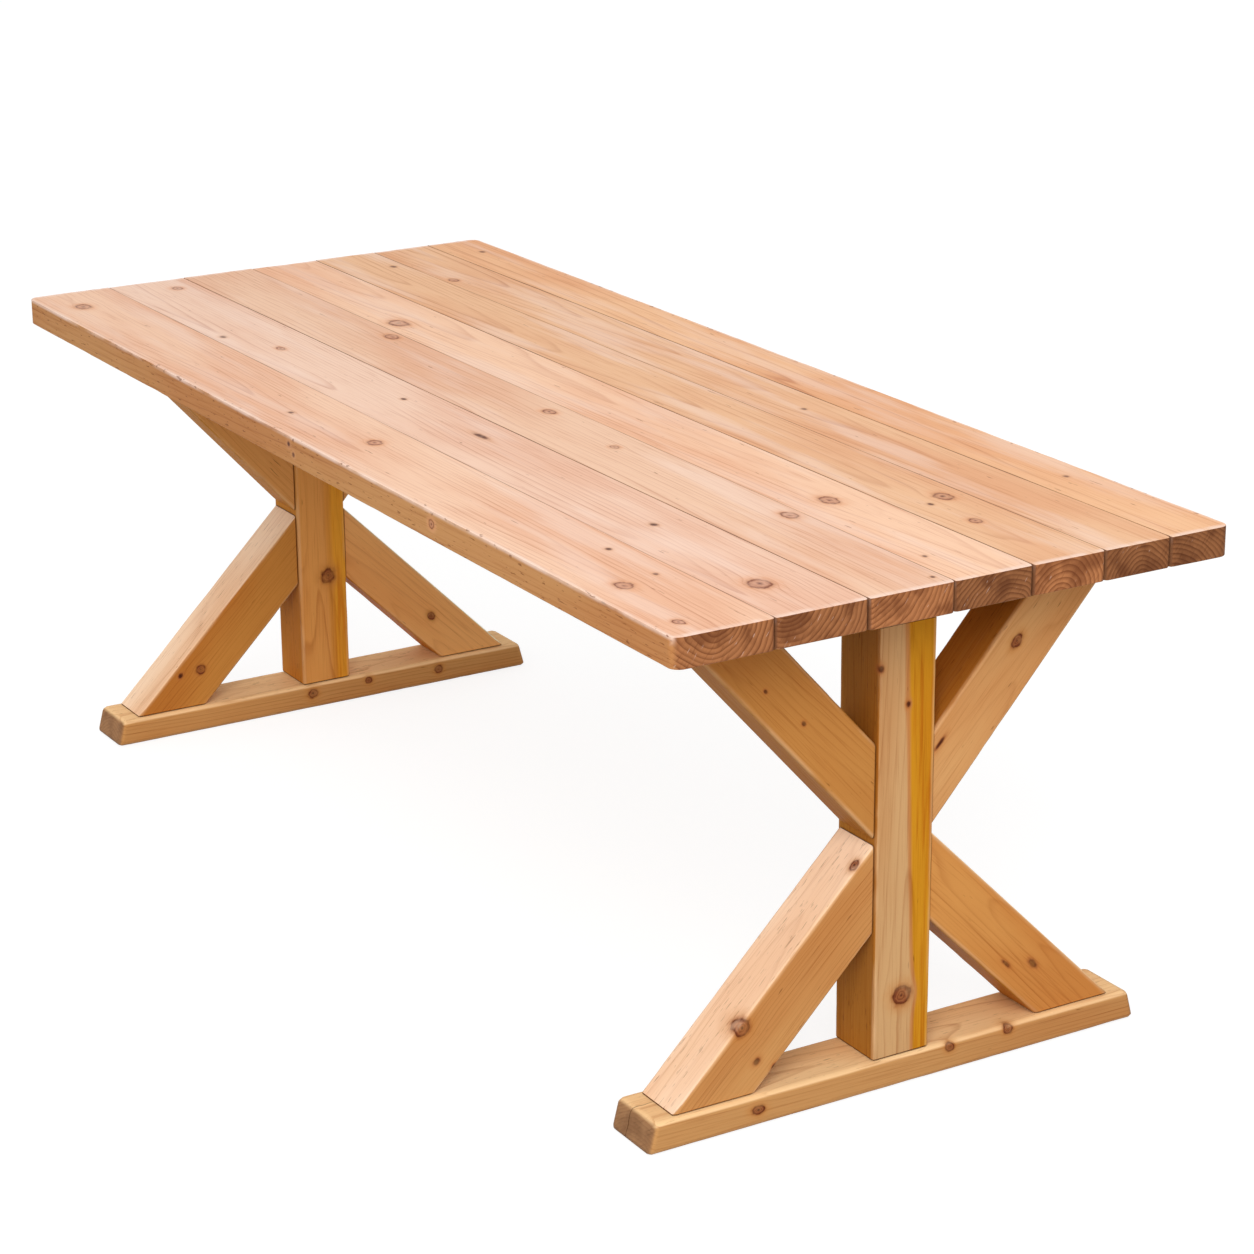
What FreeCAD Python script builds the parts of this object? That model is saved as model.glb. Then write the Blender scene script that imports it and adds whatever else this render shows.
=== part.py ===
import FreeCAD, Part
import math
import os

# A sawbuck dining table in pine. Seven planks lie side by side on two trestles.
# Each trestle is a foot, a square post, a bearer and four braces that butt against the post like an X.
# Millimetres. X runs along the table, Y across it from front to back, Z up.
# The origin is on the floor, under the middle of the top.

# Whole table. The overhang is from a trestle's middle to the end of the top.
table_height = 750.0
top_overhang = 165.0

# Top. The planks narrow evenly from the front one to the back one.
top_length = 2080.0
top_thickness = 42.0
plank_count = 7
front_plank_width = 145.0
back_plank_width = 99.0
seam_gap = 0.8
top_corner_radius = 12.0
top_edge_radius = 6.0
lower_edge_bevel = 2.5
seam_edge_bevel = 1.2

# Loose tongues in the seams, stopped short of the plank ends so that no end shows them
tongue_width = 16.0
tongue_thickness = 8.0
tongue_stop = 60.0

# Foot, a low beam with sloped ends
foot_length = 800.0
foot_width = 98.0
foot_height = 44.0
foot_end_inset = 12.0
foot_edge_radius = 4.0

# Bearer, a like beam turned over under the top, its ends set back from the top's long edges
bearer_setback = 55.0
bearer_width = 98.0
bearer_height = 48.0
bearer_end_inset = 16.0
bearer_edge_bevel = 3.0

# Post, with a stub tenon at each end
post_width = 90.0
post_edge_radius = 3.0
post_tenon_width = 56.0
post_tenon_thickness = 30.0
post_tenon_depth = 28.0

# Braces. The tip height is where a lower brace's upper edge meets the post.
brace_width = 90.0
brace_thickness = 82.0
brace_edge_radius = 3.0
lower_brace_angle = 45.0
upper_brace_angle = 48.0
lower_brace_tip_height = 357.0
brace_meeting_gap = 6.0

# Loose tenons at both ends of each brace, half in the brace and half in what it meets
brace_tenon_width = 40.0
brace_tenon_thickness = 24.0
brace_tenon_depth = 24.0

# Coach screws through the bearers into the planks. The margin is from the last seam's tongue.
top_screw_diameter = 6.0
top_screw_head_sides = 6
top_screw_head_width = 10.0
top_screw_head_height = 4.0
top_screw_sink_diameter = 13.5
top_screw_grip = 30.0
top_screw_bite = 24.0
top_screw_margin = 7.0

# Fits and cutting
joint_clearance = 0.2
end_clearance = 1.0
overrun = 5.0
same_place = 0.01
parallel_share = 0.999

# Places worked out from the sizes above
plank_step = (back_plank_width - front_plank_width) / (plank_count - 1)
plank_widths = [front_plank_width + plank_step * index for index in range(plank_count)]
top_width = sum(plank_widths) + seam_gap * (plank_count - 1)
underside = table_height - top_thickness
bearer_underside = underside - bearer_height
bearer_length = top_width - 2 * bearer_setback
upper_brace_tip_height = lower_brace_tip_height + brace_meeting_gap
trestle_places = {"right": top_length / 2 - top_overhang, "left": top_overhang - top_length / 2}
side_signs = {"front": -1, "back": 1}


def block(middle, size):
    """Box of the given size round its middle point."""
    return Part.makeBox(size.x, size.y, size.z, middle - size / 2)


def extruded(outline, middle_x, width):
    """Solid whose (y, z) outline is carried along X, centred on middle_x."""
    points = [FreeCAD.Vector(middle_x - width / 2, y, z) for y, z in outline]
    face = Part.Face(Part.makePolygon(points + points[:1]))
    return face.extrude(FreeCAD.Vector(width, 0, 0))


def edges_along(shape, direction):
    """Edges of the shape that run in the given direction."""
    unit = FreeCAD.Vector(direction).normalize()
    return [edge for edge in shape.Edges
            if abs(edge.tangentAt(edge.FirstParameter).dot(unit)) > parallel_share]


def edges_at(edges, axis, place):
    """Those edges that lie wholly in the plane where the axis has the given place."""
    def lies_there(edge):
        low = getattr(edge.BoundBox, axis + "Min")
        high = getattr(edge.BoundBox, axis + "Max")
        return abs(low - place) < same_place and abs(high - place) < same_place
    return [edge for edge in edges if lies_there(edge)]


def without(edges, left_out):
    """The edges that aren't among those left out."""
    return [edge for edge in edges if not any(edge.isSame(other) for other in left_out)]


def write(node, shapes):
    """Writes one node, a single solid or a group of separate ones."""
    solids = [solid for shape in shapes for solid in shape.Solids]
    whole = solids[0] if len(solids) == 1 else Part.makeCompound(solids)
    whole.exportStep(os.path.join("parts", node + ".step"))


# Top

def plank_front(index):
    """Y place of a plank's front edge, counted from the front."""
    return sum(plank_widths[:index]) + seam_gap * index - top_width / 2


def plank_middle(index):
    """Y place of a plank's middle."""
    return plank_front(index) + plank_widths[index] / 2


def seam_middle(index):
    """Y place of the seam behind a plank."""
    return plank_front(index + 1) - seam_gap / 2


def tongue(seam_y, clearance):
    """Loose tongue in one seam. With a clearance it is the groove that the tongue lies in."""
    middle = FreeCAD.Vector(0, seam_y, underside + top_thickness / 2)
    room = FreeCAD.Vector(clearance, clearance, clearance) * 2
    length = top_length - 2 * tongue_stop
    return block(middle, FreeCAD.Vector(length, tongue_width, tongue_thickness) + room)


def plank(index, cuts):
    """One plank: rounded ends and outer edges, eased seam edges, grooves and screw holes."""
    front = plank_front(index)
    back = front + plank_widths[index]
    outer_sides = []
    if index == 0:
        outer_sides.append(front)
    if index == plank_count - 1:
        outer_sides.append(back)
    seam_sides = [side for side in (front, back) if side not in outer_sides]
    middle = FreeCAD.Vector(0, plank_middle(index), underside + top_thickness / 2)
    body = block(middle, FreeCAD.Vector(top_length, plank_widths[index], top_thickness))

    def rim(height):
        seam_edges = [edge for side in seam_sides for edge in edges_at(body.Edges, "Y", side)]
        return without(edges_at(body.Edges, "Z", height), seam_edges)

    for side in outer_sides:
        upright = edges_along(body, FreeCAD.Vector(0, 0, 1))
        body = body.makeFillet(top_corner_radius, edges_at(upright, "Y", side))
    body = body.makeFillet(top_edge_radius, rim(table_height))
    body = body.makeChamfer(lower_edge_bevel, rim(underside))
    for side in seam_sides:
        body = body.makeChamfer(seam_edge_bevel, edges_at(body.Edges, "Y", side))
    return body.cut(cuts)


def coach_screw():
    """Screw with a six-sided head, pointing up, its head's seat at the origin."""
    length = top_screw_grip + top_screw_bite
    step = 2 * math.pi / top_screw_head_sides
    circle = Part.makeCircle(top_screw_head_width / 2 / math.cos(step / 2))
    corners = [circle.valueAt(step * number) for number in range(top_screw_head_sides)]
    outline = Part.Face(Part.makePolygon(corners + corners[:1]))
    head = outline.extrude(FreeCAD.Vector(0, 0, -top_screw_head_height))
    return head.fuse(Part.makeCylinder(top_screw_diameter / 2, length)).removeSplitter()


def coach_screw_bore():
    """Hole for such a screw: the shank's hole, and the wider hole that sinks the head."""
    length = top_screw_grip + top_screw_bite + end_clearance
    shank = Part.makeCylinder(top_screw_diameter / 2 + joint_clearance, length)
    sink_depth = bearer_height - top_screw_grip + overrun
    downwards = FreeCAD.Vector(0, 0, -1)
    sink = Part.makeCylinder(top_screw_sink_diameter / 2, sink_depth, FreeCAD.Vector(), downwards)
    return shank.fuse(sink)


def at_top_screws(shape, middle_x):
    """Copies of the screw or its bore along one bearer, clear of the post and of the braces' ends."""
    outer = seam_middle(plank_count - 2) + tongue_width / 2 + top_screw_margin
    middle = plank_count // 2
    rows = (-outer, plank_middle(middle - 1), plank_middle(middle + 1), outer)
    seat = underside - top_screw_grip
    return [shape.translated(FreeCAD.Vector(middle_x, y, seat)) for y in rows]


# Trestle

def foot(middle_x):
    """Low beam on the floor, longer below than above, its upper edges and corners rounded."""
    half = foot_length / 2
    inner = half - foot_end_inset
    outline = [(-half, 0), (half, 0), (inner, foot_height), (-inner, foot_height)]
    body = extruded(outline, middle_x, foot_width)
    return body.makeFillet(foot_edge_radius, without(body.Edges, edges_at(body.Edges, "Z", 0)))


def bearer(middle_x):
    """Beam under the top, longer above than below, its free edges bevelled."""
    half = bearer_length / 2
    inner = half - bearer_end_inset
    outline = [(-half, underside), (half, underside), (inner, bearer_underside), (-inner, bearer_underside)]
    body = extruded(outline, middle_x, bearer_width)
    return body.makeChamfer(bearer_edge_bevel, without(body.Edges, edges_at(body.Edges, "Z", underside)))


def post_tenon(middle_x, shoulder, way, clearance, end_room):
    """Stub tenon on a post's end, or with clearances its mortise. The way is -1 down, 1 up."""
    depth = post_tenon_depth + end_room
    middle = FreeCAD.Vector(middle_x, 0, shoulder + way * depth / 2)
    size = FreeCAD.Vector(post_tenon_thickness + 2 * clearance, post_tenon_width + 2 * clearance, depth)
    return block(middle, size)


def post(middle_x):
    """Square upright between foot and bearer, with its two stub tenons."""
    height = bearer_underside - foot_height
    middle = FreeCAD.Vector(middle_x, 0, foot_height + height / 2)
    body = block(middle, FreeCAD.Vector(post_width, post_width, height))
    body = body.makeFillet(post_edge_radius, edges_along(body, FreeCAD.Vector(0, 0, 1)))
    lower = post_tenon(middle_x, foot_height, -1, 0, 0)
    upper = post_tenon(middle_x, bearer_underside, 1, 0, 0)
    return body.fuse([lower, upper])


def brace(middle_x, side, tip_height, end_height, angle):
    """Brace from the post to the foot or bearer, cut upright at the post and level at its end.

    The tip is the corner on the post nearest the other brace. The side is -1 at the front, 1 at the back.
    Returns the solid, and the middles of its joints with the post and with the foot or bearer.
    """
    turn = math.radians(angle)
    way = math.copysign(1, end_height - tip_height)
    tip_y = post_width / 2
    outer_y = tip_y + abs(end_height - tip_height) / math.tan(turn)
    inner_y = outer_y - brace_width / math.sin(turn)
    heel_height = tip_height + way * brace_width / math.cos(turn)
    outline = [(side * tip_y, tip_height), (side * outer_y, end_height),
               (side * inner_y, end_height), (side * tip_y, heel_height)]
    body = extruded(outline, middle_x, brace_thickness)
    lengthwise = FreeCAD.Vector(0, side * math.cos(turn), way * math.sin(turn))
    body = body.makeFillet(brace_edge_radius, edges_along(body, lengthwise))
    at_post = FreeCAD.Vector(middle_x, side * tip_y, (tip_height + heel_height) / 2)
    at_end = FreeCAD.Vector(middle_x, side * (outer_y + inner_y) / 2, end_height)
    return body, at_post, at_end


def brace_tenons(at_post, at_end, clearance, end_room):
    """A brace's two loose tenons, level into the post and upright into its end, or their mortises."""
    across = brace_tenon_width + 2 * clearance
    thickness = brace_tenon_thickness + 2 * clearance
    through = 2 * (brace_tenon_depth + end_room)
    return [block(at_post, FreeCAD.Vector(thickness, through, across)),
            block(at_end, FreeCAD.Vector(thickness, across, through))]


def trestle(end, middle_x, screw_bores):
    """Writes one trestle's seven pieces and returns its loose tenons."""
    bodies = {"foot": foot(middle_x), "bearer": bearer(middle_x)}
    tenons = []
    cuts = list(screw_bores)
    levels = {"lower": (lower_brace_tip_height, foot_height, lower_brace_angle),
              "upper": (upper_brace_tip_height, bearer_underside, upper_brace_angle)}
    for level, (tip_height, end_height, angle) in levels.items():
        for side_name, sign in side_signs.items():
            body, at_post, at_end = brace(middle_x, sign, tip_height, end_height, angle)
            bodies[level + "_" + side_name + "_brace"] = body
            tenons += brace_tenons(at_post, at_end, 0, 0)
            cuts += brace_tenons(at_post, at_end, joint_clearance, end_clearance)
    write(end + "_trestle_post", [post(middle_x).cut(Part.makeCompound(cuts))])
    cuts += [post_tenon(middle_x, foot_height, -1, joint_clearance, end_clearance),
             post_tenon(middle_x, bearer_underside, 1, joint_clearance, end_clearance)]
    for name, body in bodies.items():
        write(end + "_trestle_" + name, [body.cut(Part.makeCompound(cuts))])
    return tenons


os.makedirs("parts", exist_ok=True)
tenons = []
screws = []
plank_cuts = []
for end, middle_x in trestle_places.items():
    screw_bores = at_top_screws(coach_screw_bore(), middle_x)
    tenons += trestle(end, middle_x, screw_bores)
    screws += at_top_screws(coach_screw(), middle_x)
    plank_cuts += screw_bores
seams = [seam_middle(index) for index in range(plank_count - 1)]
plank_cuts += [tongue(seam_y, joint_clearance) for seam_y in seams]
for index in range(plank_count):
    write("top_plank_" + str(index + 1), [plank(index, Part.makeCompound(plank_cuts))])
write("seam_tongues", [tongue(seam_y, 0) for seam_y in seams])
write("brace_tenons", tenons)
write("top_screws", screws)
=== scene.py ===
"""Pine sawbuck table: planks, trestles and joinery dressed as worn, oiled wood in a plain studio."""
import logging
import math
from dataclasses import dataclass, replace
from enum import Enum
from typing import Callable, Sequence

import bmesh
import bpy
from mathutils import Matrix, Vector, noise


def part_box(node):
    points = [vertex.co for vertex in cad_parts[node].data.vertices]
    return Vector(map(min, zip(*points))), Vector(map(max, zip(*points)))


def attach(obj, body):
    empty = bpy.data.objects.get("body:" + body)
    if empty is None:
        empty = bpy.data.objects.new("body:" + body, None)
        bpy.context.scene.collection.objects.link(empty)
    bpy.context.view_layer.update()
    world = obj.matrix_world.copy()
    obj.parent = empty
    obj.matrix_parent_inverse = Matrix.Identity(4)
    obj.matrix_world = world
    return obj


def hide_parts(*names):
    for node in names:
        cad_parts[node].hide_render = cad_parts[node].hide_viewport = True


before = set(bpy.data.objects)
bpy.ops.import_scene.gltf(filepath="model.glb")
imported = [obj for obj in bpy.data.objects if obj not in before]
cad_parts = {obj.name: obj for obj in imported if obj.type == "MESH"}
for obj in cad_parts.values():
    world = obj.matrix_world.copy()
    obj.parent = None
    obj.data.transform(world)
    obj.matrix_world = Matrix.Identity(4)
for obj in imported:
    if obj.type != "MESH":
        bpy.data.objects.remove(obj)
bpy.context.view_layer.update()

log = logging.getLogger("sawbuck_table")

Edges = list[bmesh.types.BMEdge]
Outputs = bpy.types.bpy_prop_collection
Socket = bpy.types.NodeSocket
Colour = tuple[float, float, float, float]
Tone = Socket | Colour
Share = Socket | float
KnotTones = Sequence[tuple[float, str, float]]

MM = 0.001
BODY = "root"
WHITE = "#FFFFFF"
X_AXIS = Vector((1.0, 0.0, 0.0))
Y_AXIS = Vector((0.0, 1.0, 0.0))
Z_AXIS = Vector((0.0, 0.0, 1.0))
# Both directions across the grain of a board, in its own axes.
CROSSWISE = Y_AXIS + Z_AXIS
# Directions are parallel from this cosine on, and coordinates are the same up to this distance.
PARALLEL_COSINE = 0.999
SAME_PLACE = 1e-5
# An edge between two faces is sharp from this turn on.
SHARP_TURN = math.radians(25)

# Nodes that are used most, and sockets of the colour mix, which has several with one name.
MAP_RANGE = "ShaderNodeMapRange"
MATH = "ShaderNodeMath"
RAMP = "ShaderNodeValToRGB"
SPLIT = "ShaderNodeSeparateXYZ"
VECTOR_MATH = "ShaderNodeVectorMath"
MIX_A, MIX_B, MIX_RESULT = 6, 7, 2


def linear(code: str, gain: float = 1.0) -> Colour:
    """Turns an sRGB hex code to a linear colour.

    Args:
        code: Six hex digits after a hash sign.
        gain: Factor on the linear colour, for one board's own tone.

    Returns:
        Linear red, green, blue and a full alpha.
    """
    parts = [int(code[place:place + 2], 16) / 255 for place in (1, 3, 5)]
    parts = [part / 12.92 if part <= 0.04045 else ((part + 0.055) / 1.055) ** 2.4 for part in parts]
    return (*(min(part * gain, 1.0) for part in parts), 1.0)


def between(first: str, second: str, share: float, gain: float) -> Colour:
    """Finds a colour between two hex codes.

    Args:
        first: Colour at a share of 0.
        second: Colour at a share of 1.
        share: How far from the first to the second.
        gain: Factor on both.

    Returns:
        The linear colour.
    """
    return tuple(Vector(linear(first, gain)).lerp(Vector(linear(second, gain)), share))


def emptied(owner: bpy.types.Material | bpy.types.World) -> bpy.types.NodeTree:
    """Gives a material or a world an empty node tree.

    Args:
        owner: The material or the world.

    Returns:
        The tree.
    """
    owner.use_nodes = True
    owner.node_tree.nodes.clear()
    return owner.node_tree


def add_node(tree: bpy.types.NodeTree, kind: str, inputs: dict, **settings: object) -> Outputs:
    """Adds a node with its settings and links.

    Args:
        tree: Tree that gets the node.
        kind: Blender's name for the node.
        inputs: A value, or another node's output, for each input by name or number.
        **settings: Properties of the node itself. A list under stops fills a colour ramp,
            first and last stop first.

    Returns:
        The new node's outputs.
    """
    node = tree.nodes.new(kind)
    stops = settings.pop("stops", ())
    for name, value in settings.items():
        setattr(node, name, value)
    for number, (position, colour) in enumerate(stops):
        ramp = node.color_ramp.elements
        stop = ramp[number] if number < len(ramp) else ramp.new(position)
        stop.position = position
        stop.color = colour
    for key, value in inputs.items():
        if isinstance(value, Socket):
            tree.links.new(value, node.inputs[key])
        else:
            node.inputs[key].default_value = value
    return node.outputs


class Face(Enum):
    """Faces of a board that a knot lies on: the board's axis that the face looks along, and its sign."""

    MAIN = (2, 1.0)
    UPPER = (1, 1.0)
    FRONT = (1, -1.0)


class Edge(Enum):
    """Edges of a board's main face: the board's axis that points at them, by name and number."""

    END = ("X", 0)
    LONG = ("Y", 1)


class Way(Enum):
    """Ways of laying one tone over another."""

    COVER = "MIX"
    STAIN = "MULTIPLY"


class End(Enum):
    """Ends of the table."""

    RIGHT = "right"
    LEFT = "left"


class Level(Enum):
    """Heights that a brace stands at."""

    LOWER = "lower"
    UPPER = "upper"


class Side(Enum):
    """Sides of the post that a brace stands on."""

    FRONT = "front"
    BACK = "back"


@dataclass(frozen=True)
class Span:
    """Values of a pattern between which something comes in, rising or falling.

    Attributes:
        start: Where it starts to show.
        full: Where it shows most.
    """

    start: float
    full: float

    def over(self, pattern: Socket, most: Share = 1.0, least: float = 0.0) -> dict:
        """Returns what a node that maps ranges needs to go from the least to the most over this span."""
        return {"Value": pattern, "From Min": self.start, "From Max": self.full,
                "To Min": least, "To Max": most}


WHOLE = Span(0.0, 1.0)


@dataclass(frozen=True)
class Figure:
    """A cloudy pattern that is drawn out along the grain.

    Attributes:
        draw: How much longer it is along the grain.
        size_mm: Its size across the grain.
        detail: Its octaves.
        span: Its values between which what it marks comes in.
    """

    draw: float
    size_mm: float
    detail: float
    span: Span = WHOLE


# What moves the grain and the rings, and makes a knot's outline and a crack uneven.
WANDER = Figure(9.0, 90.0, 2.0)
WOBBLE = Figure(14.0, 45.0, 1.5)
KNOT_OUTLINE = Figure(1.2, 9.0, 2.0)
CRACK_WAVE = Figure(1.5, 22.0, 2.0)
# What marks the faces along the grain. Fibres are drawn coarser than they are, so that they show.
FIBRES = Figure(45.0, 2.2, 3.0, Span(0.5, 0.75))
CLOUDS = Figure(4.0, 150.0, 3.0, Span(0.4, 0.66))
CLEAR_LINES = Figure(5.0, 60.0, 2.0, Span(0.35, 0.65))
RESIN_VEINS = Figure(25.0, 7.0, 2.0, Span(0.46, 0.68))
SCUFFS = Figure(10.0, 45.0, 5.0, Span(0.48, 0.7))
FLECKS = Figure(8.0, 5.0, 2.0, Span(0.71, 0.78))
PITS = Figure(7.0, 3.0, 2.0, Span(0.64, 0.7))
DENTS = Figure(2.0, 9.0, 2.0, Span(0.62, 0.7))
RUBBED = Figure(4.0, 30.0, 4.0, Span(0.36, 0.56))
# What makes knots, sawn ends and the painted shade in seams patchy.
KNOT_PATCHES = Figure(1.2, 14.0, 2.0, Span(0.35, 0.6))
END_PATCHES = Figure(1.0, 35.0, 3.0, Span(0.4, 0.68))
SEAM_PATCHES = Figure(10.0, 25.0, 3.0, Span(0.35, 0.65))


@dataclass(frozen=True)
class Knot:
    """One knot, in millimetres from the board's middle.

    Attributes:
        along: Place along the grain.
        aside: Place across the grain on its face.
        radius: Half its width across the grain.
        stretch: How much longer it is along the grain than across it.
        face: Face that it lies on.
    """

    along: float
    aside: float
    radius: float
    stretch: float = 1.35
    face: Face = Face.MAIN

    # How deep it goes in, as a factor on the inward distance, and the least radius of one with rings.
    INWARD = 0.6
    RINGED_MM = 6.0

    def middle(self, size: Vector) -> Vector:
        """Finds the knot's middle on the board's face.

        Args:
            size: The board's length, width and thickness, in metres.

        Returns:
            The middle, in the board's own millimetres.
        """
        axis, sign = self.face.value
        spot = Vector((self.along, self.aside, self.aside))
        spot[axis] = sign * size[axis] / 2 / MM
        return spot

    def squash(self) -> Vector:
        """Finds what turns the knot's oval body to a ball.

        Returns:
            A factor for each of the board's axes.
        """
        factors = Vector((1 / self.stretch, 1.0, 1.0))
        factors[self.face.value[0]] = self.INWARD
        return factors

    def is_pin(self) -> bool:
        """Tells whether it is a pin knot, a small dark one without rings."""
        return self.radius < self.RINGED_MM


@dataclass(frozen=True)
class Streak:
    """A lengthwise band of resin-rich wood in another colour.

    Attributes:
        start: Where it starts across the board, in millimetres.
        full: Where it has its full colour.
        rim: Hex code of its border.
        colour: Its own hex code.
        lean: How far it moves across for each step along the grain.
    """

    start: float
    full: float
    rim: str
    colour: str
    lean: float = 0.0


@dataclass(frozen=True)
class Cut:
    """What sets one board apart from another of the same finish.

    Attributes:
        pith: Where the tree's pith lies beside the board's middle, across and outward, in millimetres.
        amber: How deep its tone is, from 0 to 1.
        gain: Factor on its tone.
        knots: Its knots.
        streak: Its resin-rich band, if it has one.
        crack_mm: Length of the drying crack in its low end.
        lit_top: How much painted light and sheen, partly bleaching, its upper faces get, from 0 to 1.
        lit_top_amber: How deep the tone of the painted light on its upper faces is, where it isn't as deep as
            the rest.
        end_gain: Factor on the tone of its sawn ends.
        end_step: How far its ends lie inside the longest board's, in millimetres.
        top_step: How far its face lies below the highest board's, in millimetres.
    """

    pith: tuple[float, float]
    amber: float
    gain: float = 1.0
    knots: Sequence[Knot] = ()
    streak: Streak | None = None
    crack_mm: float = 0.0
    lit_top: float = 1.0
    lit_top_amber: float | None = None
    end_gain: float = 1.0
    end_step: float = 0.0
    top_step: float = 0.0


@dataclass(frozen=True)
class PineFinish:
    """Planed pine: its tones, and how strong its lines, wear and gloss are.

    Attributes:
        name: What the finish is.
        slot: The record's material slot; not used.
        light: Early wood of a pale board.
        amber: Early wood of a deep-toned board.
        side: Faces across the grain, deeper and more saturated: painted shade.
        lit_top_pale: Faces that look up, on a pale board: painted light and sheen, partly bleaching.
        lit_top_amber: Faces that look up, on a deep-toned board: painted light and sheen, partly bleaching.
        line: Stain of the late wood lines.
        cloud: Stain of the clouds.
        fleck: Stain of the short dark flecks, pits and dents.
        scuff: Rubbed and bleached places.
        gap_shade: Painted shade in seams and round joints, and the dark line of cracks.
        end_light: Early wood on a sawn end.
        end_dark: Late wood on a sawn end.
        knot_tones: A knot's tone and cover by its distance in radii.
        pin_tones: The same for a pin knot.
        ring_mm: Width of one year's growth.
        line_share: Strength of the late wood lines.
        end_share: Strength of the growth rings on a sawn end.
        cloud_share: Strength of the clouds.
        scuff_share: Strength of the scuffed places.
        rub_share: Strength of the rubbed edges.
        pit_share: Strength of the pits in the sides and the dents in the rim.
        wear_mm: Depth of the wear on the rounded edges.
        roughness: Middle roughness of the surface.
        gloss: Specular level of the surface.
    """

    name: str
    slot: str
    light: str
    amber: str
    side: str
    lit_top_pale: str
    lit_top_amber: str
    line: str
    cloud: str
    fleck: str
    scuff: str
    gap_shade: str
    end_light: str
    end_dark: str
    knot_tones: KnotTones
    pin_tones: KnotTones
    ring_mm: float
    line_share: float
    end_share: float
    cloud_share: float
    scuff_share: float
    rub_share: float
    pit_share: float
    wear_mm: float
    roughness: float
    gloss: float


# Scrubbed, waxed pine: salmon on top, partly painted light and sheen, with rosy lines and white scuffs,
# golden edges darkened by painted shade, red-brown arcs on the ends.
TOP_PINE = PineFinish(
    name="waxed_pine", slot="top_pine", light="#DCAE78", amber="#D2A066", side="#C58F5A",
    lit_top_pale="#F5D0B8", lit_top_amber="#F3BF92", line="#BC866A", cloud="#E2AF8A", fleck="#8A5F4C",
    scuff="#F8DCCC", gap_shade="#6E452E", end_light="#AC7046", end_dark="#5A2A12",
    knot_tones=((0.0, "#5A3026", 0.88), (0.16, "#98604A", 0.78), (0.45, "#C78C6E", 0.66),
                (0.75, "#AC7054", 0.72), (0.95, "#743E2C", 0.88), (1.12, "#C2825A", 0.62),
                (1.5, "#E2A074", 0.45), (2.8, "#E8B48A", 0.0)),
    pin_tones=((0.0, "#4A2E28", 0.9), (0.7, "#6E4636", 0.85), (1.0, "#A06C50", 0.6),
               (1.5, "#D49A6E", 0.4), (3.0, "#E2AC84", 0.0)),
    ring_mm=6.5, line_share=0.5, end_share=0.5, cloud_share=0.36, scuff_share=0.4, rub_share=0.7,
    pit_share=0.65, wear_mm=0.7, roughness=0.58, gloss=0.08)

# Oiled pine: tan to amber with thin brown lines, painted shade deepening the sides, painted light and sheen
# (partly bleaching) paling the tops, dull at the ends.
FRAME_PINE = PineFinish(
    name="oiled_pine", slot="frame_pine", light="#D3A673", amber="#C17E32", side="#B0742C",
    lit_top_pale="#FADFC8", lit_top_amber="#F8CE98", line="#B98450", cloud="#DCA868", fleck="#6E4526",
    scuff="#EEC596", gap_shade="#4A2A14", end_light="#A67A54", end_dark="#64402A",
    knot_tones=((0.0, "#34180E", 0.96), (0.14, "#643420", 0.92), (0.3, "#96562F", 0.85),
                (0.44, "#743A20", 0.88), (0.6, "#9A5832", 0.84), (0.74, "#783C22", 0.88),
                (0.95, "#5C2812", 0.93), (1.12, "#9E5A2A", 0.66), (1.5, "#BE7A3A", 0.42),
                (2.8, "#C68640", 0.0)),
    pin_tones=((0.0, "#3E1C0E", 0.95), (0.7, "#602E18", 0.9), (1.0, "#96502A", 0.65),
               (1.5, "#B86E36", 0.4), (3.0, "#C07C3A", 0.0)),
    ring_mm=5.0, line_share=0.5, end_share=0.15, cloud_share=0.4, scuff_share=0.15, rub_share=0.35,
    pit_share=0.35, wear_mm=0.7, roughness=0.55, gloss=0.04)


@dataclass
class Board:
    """One wooden piece with its place and grain.

    Attributes:
        node: CAD node that it stands for.
        name: Name of the piece.
        finish: Its finish.
        cut: What sets it apart.
        middle: Its middle, in metres.
        along: Direction of the grain.
        out: Direction that its main face looks in.
        size: Length along the grain, width across it and thickness, in metres.
        seed: Number that sets its figure apart.
        seams: Sides across the grain that lie in a seam, as signs.
        joined: Whether its ends stand against other pieces.
    """

    node: str
    name: str
    finish: PineFinish
    cut: Cut
    middle: Vector
    along: Vector
    out: Vector
    size: Vector
    seed: int
    seams: Sequence[int] = ()
    joined: bool = False

    # How far from a seam its eased edge goes, in metres.
    SEAM_EASE = 3 * MM

    def across(self) -> Vector:
        """Returns the direction across the grain."""
        return self.out.cross(self.along)

    def axes(self) -> Matrix:
        """Returns the turn from the board's own axes to the table's."""
        return Matrix((self.along, self.across(), self.out)).transposed()

    def edge_distance(self, point: Vector) -> float:
        """Returns how far a point on the surface is from the board's nearest edge, in metres."""
        place = self.axes().transposed() @ (point - self.middle)
        return sorted(half - abs(value) for half, value in zip(self.size / 2, place))[1]

    def in_seam(self, point: Vector) -> bool:
        """Tells whether a point lies on a side in a seam or on its eased edge."""
        aside = self.across().dot(point - self.middle)
        return any(sign * aside > self.size.y / 2 - self.SEAM_EASE for sign in self.seams)


@dataclass(frozen=True)
class Layer:
    """A tone laid over the wood where a pattern is strong.

    Attributes:
        pattern: Output that says where.
        span: Its values between which the tone comes in.
        share: How much the tone shows at most.
        tone: The tone itself.
        way: Way that it is laid.
    """

    pattern: Socket
    span: Span
    share: Share
    tone: Tone
    way: Way = Way.COVER


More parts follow.
